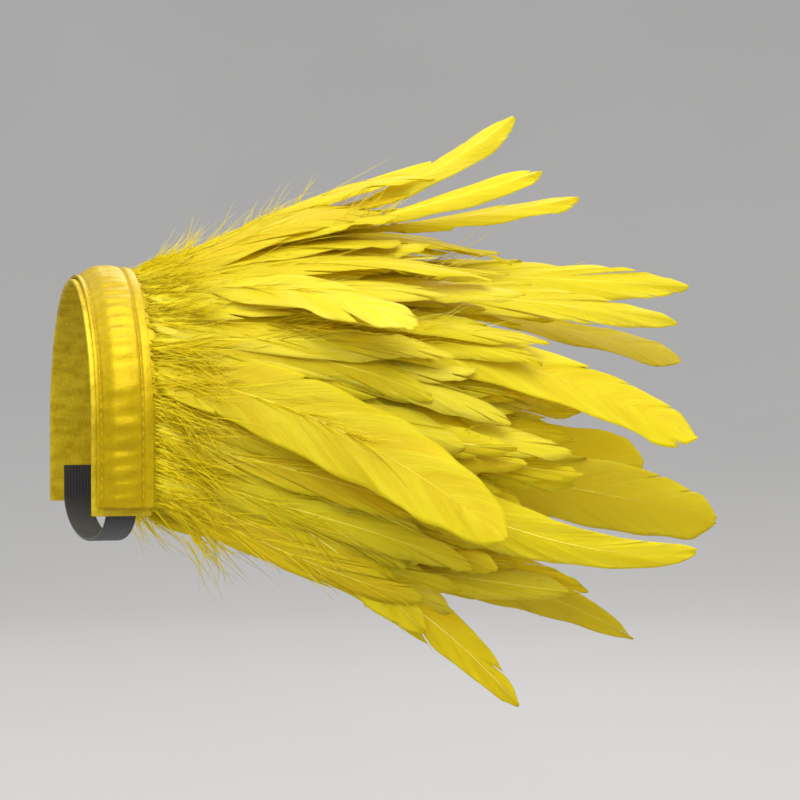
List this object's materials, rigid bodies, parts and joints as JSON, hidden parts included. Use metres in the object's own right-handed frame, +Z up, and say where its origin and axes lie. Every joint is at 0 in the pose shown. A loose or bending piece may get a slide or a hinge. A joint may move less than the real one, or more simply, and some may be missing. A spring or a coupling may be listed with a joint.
{
  "type": "feather shoulder piece",
  "caption": "Feather shoulder piece: a gathered satin band arched over the shoulder, long feather trim sewn along its outer edge and an elastic under the arm.",
  "frame": {"origin": "middle of the band's inner face at its crown, where it sits on top of the shoulder", "axes": "+Z up, +X outward along the shoulder, the way the feathers point, -Y to the wearer's front"},
  "size_m": [0.2325, 0.2106, 0.2052],
  "materials": {
    "satin_yellow": "glossy satin",
    "feather_yellow": "dyed feather, silky",
    "elastic_black": "woven elastic"
  },
  "bodies": {
    "root": {"band_backing": "satin_yellow", "band_facing": "satin_yellow", "feather_row_inner": "feather_yellow", "feather_row_outer": "feather_yellow", "underarm_elastic": "elastic_black"}
  },
  "joints": []
}
